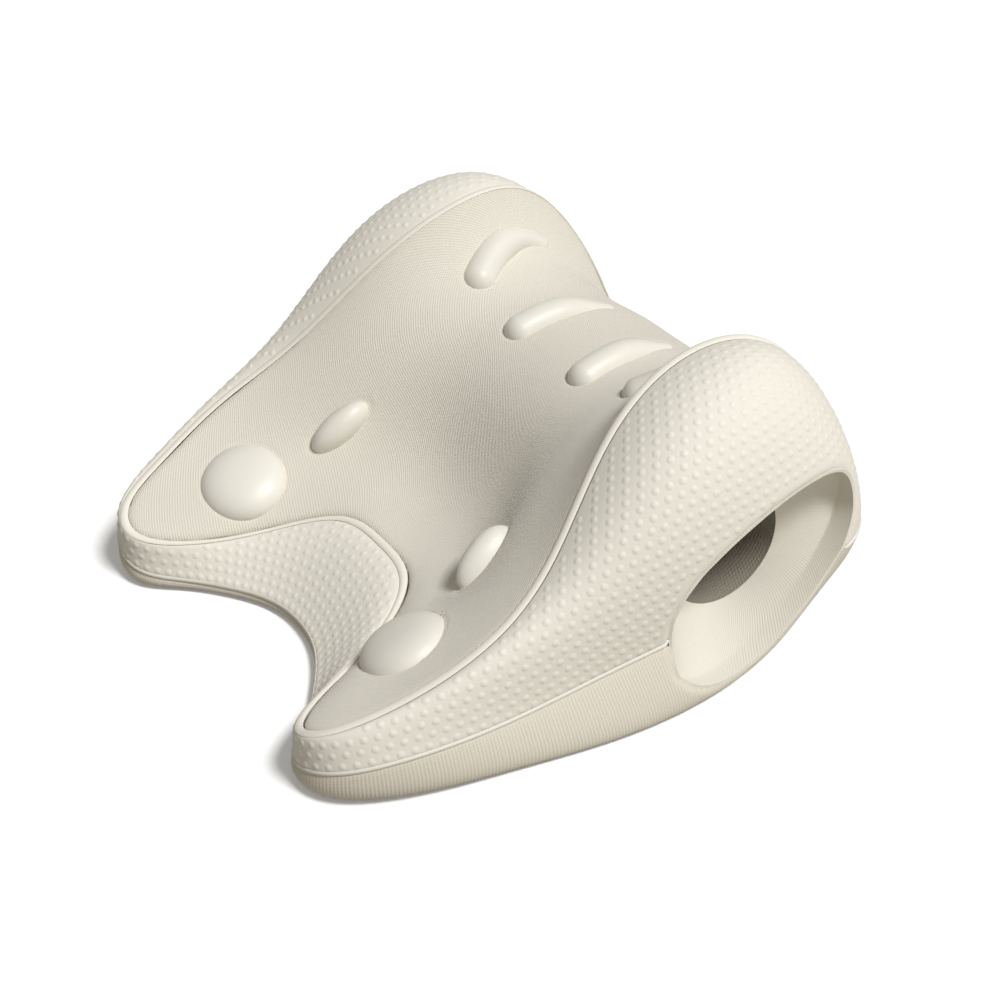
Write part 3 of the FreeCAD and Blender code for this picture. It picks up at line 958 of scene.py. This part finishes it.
class Graph:
    """Short ways to add and join material nodes."""

    def __init__(self, name):
        self.material = bpy.data.materials.new(name)
        self.material.use_nodes = True
        self.tree = self.material.node_tree
        self.shader = self.tree.nodes["Principled BSDF"]

    def add(self, kind, inputs, **settings):
        node = self.tree.nodes.new("ShaderNode" + kind)
        for key, value in settings.items():
            setattr(node, key, value)
        self.fill(node, inputs)
        return node

    def fill(self, node, inputs):
        """Set a node's inputs, each to a number, a colour or another node's output."""
        for key, value in inputs.items():
            if isinstance(value, tuple):
                node.inputs[key].default_value = (*value, 1)
            elif isinstance(value, (int, float)):
                node.inputs[key].default_value = value
            else:
                self.tree.links.new(value, node.inputs[key])

    def math(self, operation, a, b=0.0, c=0.0):
        return self.add("Math", {0: a, 1: b, 2: c}, operation=operation).outputs[0]

    def times(self, a, b):
        return self.math("MULTIPLY", a, b)

    def place(self):
        return self.add("TexCoord", {}).outputs["Object"]

    def noise(self, scale, detail=3.0):
        inputs = {"Vector": self.place(), "Scale": scale, "Detail": detail, "Roughness": 0.55}
        return self.add("TexNoise", inputs).outputs["Fac"]

    def cloth(self):
        """The two directions of the cloth, in millimetres."""
        uv = self.add("UVMap", {}, uv_map="cloth_mm").outputs[0]
        split = self.add("SeparateXYZ", {0: uv})
        return split.outputs[0], split.outputs[1]

    def value(self, name):
        return self.add("Attribute", {}, attribute_name=name).outputs["Fac"]

    def wave(self, distance, pitch):
        return self.math("COSINE", self.times(distance, 2 * math.pi / pitch))

    def ramp(self, value, low, high):
        """0 at low, 1 at high, smooth in between."""
        inputs = {"Value": value, "From Min": low, "From Max": high}
        return self.add("MapRange", inputs, interpolation_type="SMOOTHSTEP").outputs["Result"]

    def mix(self, factor, low, high):
        inputs = {"Factor": factor, "A": low, "B": high}
        return self.add("Mix", inputs, data_type="RGBA").outputs["Result"]

    def bump(self, height, distance, under=None):
        """A surface detail that stands out by a distance in millimetres, on top of another one."""
        inputs = {"Height": height, "Distance": distance * MM, "Strength": 1.0}
        if under is not None:
            inputs["Normal"] = under
        return self.add("Bump", inputs).outputs[0]

    def finish(self, colour, roughness, normal, sheen=0.0, specular=0.3):
        inputs = {"Base Color": colour, "Roughness": roughness, "Normal": normal, "Sheen Weight": sheen}
        self.fill(self.shader, inputs | {"Sheen Roughness": 0.5, "Specular IOR Level": specular})
        return self.material


IVORY = (0.76, 0.725, 0.635)
IVORY_LIGHT = (0.82, 0.795, 0.715)
# Painted shade: the ivory the knits are darkened toward in their stitch hollows, round the dots and along
# their edges.
IVORY_SHADE = (0.60, 0.55, 0.45)
BEIGE = (0.67, 0.625, 0.53)
BEIGE_DEEP = (0.52, 0.47, 0.375)


def worn(g, low, high, scale=18.0, reach=0.5):
    """Soft, cloudy variation between two colours."""
    return g.mix(g.times(g.noise(scale), reach), low, high)


def panel_knit():
    g = Graph("panel_knit")
    u, v = g.cloth()
    stitch = g.times(g.wave(u, WEAVE_PITCH), g.wave(v, WEAVE_PITCH))
    fuzz = g.noise(2600.0, 2.0)
    height = g.math("ADD", stitch, g.times(fuzz, 0.8))
    normal = g.bump(height, 0.10)
    base = worn(g, IVORY, (0.80, 0.77, 0.69))
    # Painted shade: the cloth is darkened in the hollows of the stitch, following the bump.
    hollow = g.math("MULTIPLY_ADD", stitch, -0.14, 0.14)
    colour = g.mix(hollow, base, IVORY_SHADE)
    # Painted shade along the panel's edge, where it meets the lip.
    colour = g.mix(g.times(g.value("edge"), 0.35), colour, IVORY_SHADE)
    return g.finish(colour, g.math("MULTIPLY_ADD", fuzz, 0.1, 0.72), normal, sheen=0.25)


def dotted_knit():
    g = Graph("dotted_knit")
    u, v = g.cloth()
    near = g.value("near")
    raised = g.ramp(near, DOT_RADIUS + 0.05, DOT_RADIUS - 0.3)
    # ring marks each dot's rim, which is darkened below as painted shade.
    ring = g.times(raised, g.ramp(near, DOT_RADIUS - 0.6, DOT_RADIUS - 0.2))
    yarn = g.times(g.wave(u, YARN_PITCH), g.wave(v, YARN_PITCH))
    fuzz = g.noise(2600.0, 2.0)
    calm = g.math("MULTIPLY_ADD", raised, -0.7, 1.0)
    height = g.math("ADD", g.times(yarn, 0.5), fuzz)
    cloth = g.bump(g.times(height, calm), 0.03)
    normal = g.bump(raised, 0.04, under=cloth)
    base = worn(g, (0.77, 0.74, 0.655), IVORY_LIGHT)
    # Painted highlight: the raised dots are drawn lighter than the cloth round them.
    colour = g.mix(g.times(raised, 0.2), base, (0.84, 0.815, 0.745))
    # Painted shade: a dark ring round the rim of each dot.
    colour = g.mix(g.times(ring, 0.1), colour, IVORY_SHADE)
    # Painted shade along the band's edges, at the lip, the seam and the mouths.
    colour = g.mix(g.times(g.value("edge"), 0.2), colour, IVORY_SHADE)
    rough = g.math("MULTIPLY_ADD", raised, -0.15, 0.66)
    return g.finish(colour, rough, normal, sheen=0.2)


def ribbed_knit():
    g = Graph("ribbed_knit")
    _, v = g.cloth()
    raised = g.value("raised")
    stitch = g.wave(v, 1.1)
    fuzz = g.noise(2600.0, 2.0)
    normal = g.bump(g.math("ADD", g.times(stitch, 0.4), fuzz), 0.06)
    base = worn(g, BEIGE, (0.71, 0.67, 0.58))
    # Painted shade: the lower the rib, the further the cloth is drawn toward BEIGE_DEEP, so the hollows
    # between the ribs read as shaded.
    colour = g.mix(g.math("MULTIPLY_ADD", raised, -0.42, 0.42), base, BEIGE_DEEP)
    return g.finish(colour, 0.78, normal, sheen=0.25)


def smooth_cord(name, colour_low, colour_high, twist):
    g = Graph(name)
    u, v = g.cloth()
    strand = g.wave(g.math("ADD", u, g.times(v, twist)), 0.9)
    fuzz = g.noise(3000.0, 2.0)
    normal = g.bump(g.math("ADD", g.times(strand, 0.5), fuzz), 0.03)
    return g.finish(worn(g, colour_low, colour_high, 30.0), 0.6, normal, sheen=0.15)


def lining(name, low, high, pitch):
    g = Graph(name)
    u, v = g.cloth()
    twill = g.wave(g.math("ADD", u, g.times(v, 0.5)), pitch)
    cross = g.wave(v, pitch * 0.8)
    fuzz = g.noise(2600.0, 2.0)
    height = g.math("ADD", g.math("MULTIPLY_ADD", cross, 0.35, twill), fuzz)
    normal = g.bump(height, 0.04)
    base = worn(g, low, high, 22.0, 0.8)
    # Painted shade on the pale funnel lining: the twill's low lines are drawn toward BEIGE_DEEP. On the dark
    # bore lining the same lines come out lighter.
    colour = g.mix(g.math("MULTIPLY_ADD", twill, -0.07, 0.07), base, BEIGE_DEEP)
    return g.finish(colour, 0.75, normal, sheen=0.25)


def satin_node():
    g = Graph("massage_node")
    fine = g.noise(900.0, 4.0)
    normal = g.bump(fine, 0.02)
    colour = worn(g, (0.73, 0.705, 0.625), (0.79, 0.77, 0.70), 25.0, 1.0)
    material = g.finish(colour, g.math("MULTIPLY_ADD", fine, 0.12, 0.40), normal, specular=0.45)
    g.fill(g.shader, {"Coat Weight": 0.12, "Coat Roughness": 0.35})
    return material


def foam():
    g = Graph("foam")
    cells = g.add("TexVoronoi", {"Vector": g.place(), "Scale": 900.0}).outputs["Distance"]
    normal = g.bump(cells, 0.4)
    colour = g.mix(cells, (0.80, 0.74, 0.56), (0.90, 0.86, 0.72))
    return g.finish(colour, 0.85, normal)


def paint(obj, material):
    obj.data.materials.clear()
    obj.data.materials.append(material)


# ---- studio ----

VIEW_AZIMUTH, VIEW_ELEVATION, VIEW_ROLL = 61.54, 36.9, -7.37
VIEW_DISTANCE = 1.958         # in lengths of the object's box diagonal
VIEW_AIM = (0.0382, -0.0659)  # where the camera points, right and up of the box's middle, in the same unit
LENS, SENSOR = 68.4, 36.0
LAMPS = [
    ("side", (0.95, -0.1, 0.4), 0.9),
    ("rear", (0.1, 1.0, 0.3), 0.8),
    ("front", (-0.35, -0.8, 0.6), 0.12),
]
LAMP_WIDTH, LAMP_DISTANCE = 2.6, 3.4      # also in box diagonals


def floor(height, size):
    """Pale floor, white to the camera, that throws little light back up on the object."""
    reach = 40 * size / MM
    corners = [(-reach, -reach, 0), (reach, -reach, 0), (reach, reach, 0), (-reach, reach, 0)]
    plane = add_mesh("floor", corners, [(0, 1, 2, 3)])
    plane.location.z = height
    g = Graph("floor")
    seen = g.add("LightPath", {}).outputs["Is Camera Ray"]
    pale = g.mix(g.noise(2.0), (0.95, 0.955, 0.96), (0.965, 0.967, 0.97))
    colour = g.mix(seen, (0.44, 0.41, 0.36), pale)
    paint(plane, g.finish(colour, 0.9, g.bump(g.noise(300.0), 0.05)))
    glow = g.times(seen, 0.12)
    g.fill(g.shader, {"Emission Color": (1.0, 1.0, 1.0), "Emission Strength": glow})


def sky():
    """Soft warm light from all round, white to the camera."""
    world = bpy.data.worlds.new("studio")
    world.use_nodes = True
    background = world.node_tree.nodes["Background"]
    background.inputs["Color"].default_value = (1.0, 0.965, 0.90, 1)
    seen = world.node_tree.nodes.new("ShaderNodeLightPath").outputs["Is Camera Ray"]
    level = world.node_tree.nodes.new("ShaderNodeMapRange")
    level.inputs["To Min"].default_value, level.inputs["To Max"].default_value = 0.24, 1.1
    world.node_tree.links.new(seen, level.inputs["Value"])
    world.node_tree.links.new(level.outputs["Result"], background.inputs["Strength"])
    bpy.context.scene.world = world


def lamp(name, kind, towards, **settings):
    data = bpy.data.lights.new(name, kind)
    for key, value in settings.items():
        setattr(data, key, value)
    light = add_object(name, data)
    light.rotation_euler = Vector(towards).to_track_quat("Z", "Y").to_euler()
    return light


def studio():
    low, high = cad_box
    middle, size = (low + high) / 2, (high - low).length
    floor(low.z, size)
    sky()
    lamp("key", "SUN", (0.52, 0.24, 0.82), energy=2.75, angle=math.radians(14.0))
    for name, towards, power in LAMPS:
        light = lamp(name, "AREA", towards, energy=power * size * size * 10, size=LAMP_WIDTH * size)
        light.location = middle + Vector(towards).normalized() * LAMP_DISTANCE * size
    bpy.context.scene.view_settings.view_transform = "Standard"
    camera(middle, size)


def camera(middle, size):
    a, e, r = (math.radians(x) for x in (VIEW_AZIMUTH, VIEW_ELEVATION, VIEW_ROLL))
    back = Vector((math.sin(a) * math.cos(e), -math.cos(a) * math.cos(e), math.sin(e)))
    level = Vector((math.cos(a), math.sin(a), 0))
    right = level * math.cos(r) + back.cross(level) * math.sin(r)
    up = back.cross(right)
    aim = middle + right * (VIEW_AIM[0] * size) + up * (VIEW_AIM[1] * size)
    data = bpy.data.cameras.new("camera")
    data.lens, data.sensor_width = LENS, SENSOR
    data.clip_end = 100
    cam = add_object("camera", data)
    place = aim + back * (VIEW_DISTANCE * size)
    cam.matrix_world = Matrix.Translation(place) @ Matrix((right, up, back)).transposed().to_4x4()
    bpy.context.scene.camera = cam


# ---- assembly ----

def build():
    plan = strips()
    ring = Ring(plan)
    panel = Panel(panel_net(plan))
    nodes = []
    for side in ("right", "left"):
        nodes.append(Dome("round_node_" + side, panel, ROUND_HALF))
        nodes.append(Dome("oval_node_" + side, panel, OVAL_HALF))
        nodes.append(Ridge("outer_ridge_" + side, panel, OUTER_RIDGE))
        nodes.append(Ridge("inner_ridge_" + side, panel, INNER_RIDGE))

    cutters = mouth_cutters()
    paint(side_band(ring, cutters), dotted_knit())
    paint(base_panel(ring, cutters), ribbed_knit())
    paint(seam_welt(ring, cutters), smooth_cord("welt", (0.80, 0.775, 0.70), (0.86, 0.84, 0.77), 2.0))
    for cutter in cutters:
        bpy.data.objects.remove(cutter)
    paint(rim_piping(ring), smooth_cord("lip", (0.78, 0.75, 0.665), (0.84, 0.815, 0.74), 0.0))
    paint(centre_panel(panel, ring, nodes), panel_knit())
    satin = satin_node()
    for node in nodes:
        paint(node.build(), satin)
    tree = body_surface(ring)
    cloth = lining("funnel_lining", (0.76, 0.73, 0.64), (0.80, 0.77, 0.69), FUNNEL_TWILL)
    for node, side in (("right_funnel", 1), ("left_funnel", -1)):
        paint(funnel(node, side, tree), cloth)
    # Painted shade: the bore lining is drawn dark brown to stand in for the shade deep inside the tunnel.
    paint(bore_sleeve(), lining("bore_lining", (0.23, 0.21, 0.165), (0.27, 0.245, 0.195), BORE_TWILL))
    paint(foam_body(), foam())
    studio()


build()
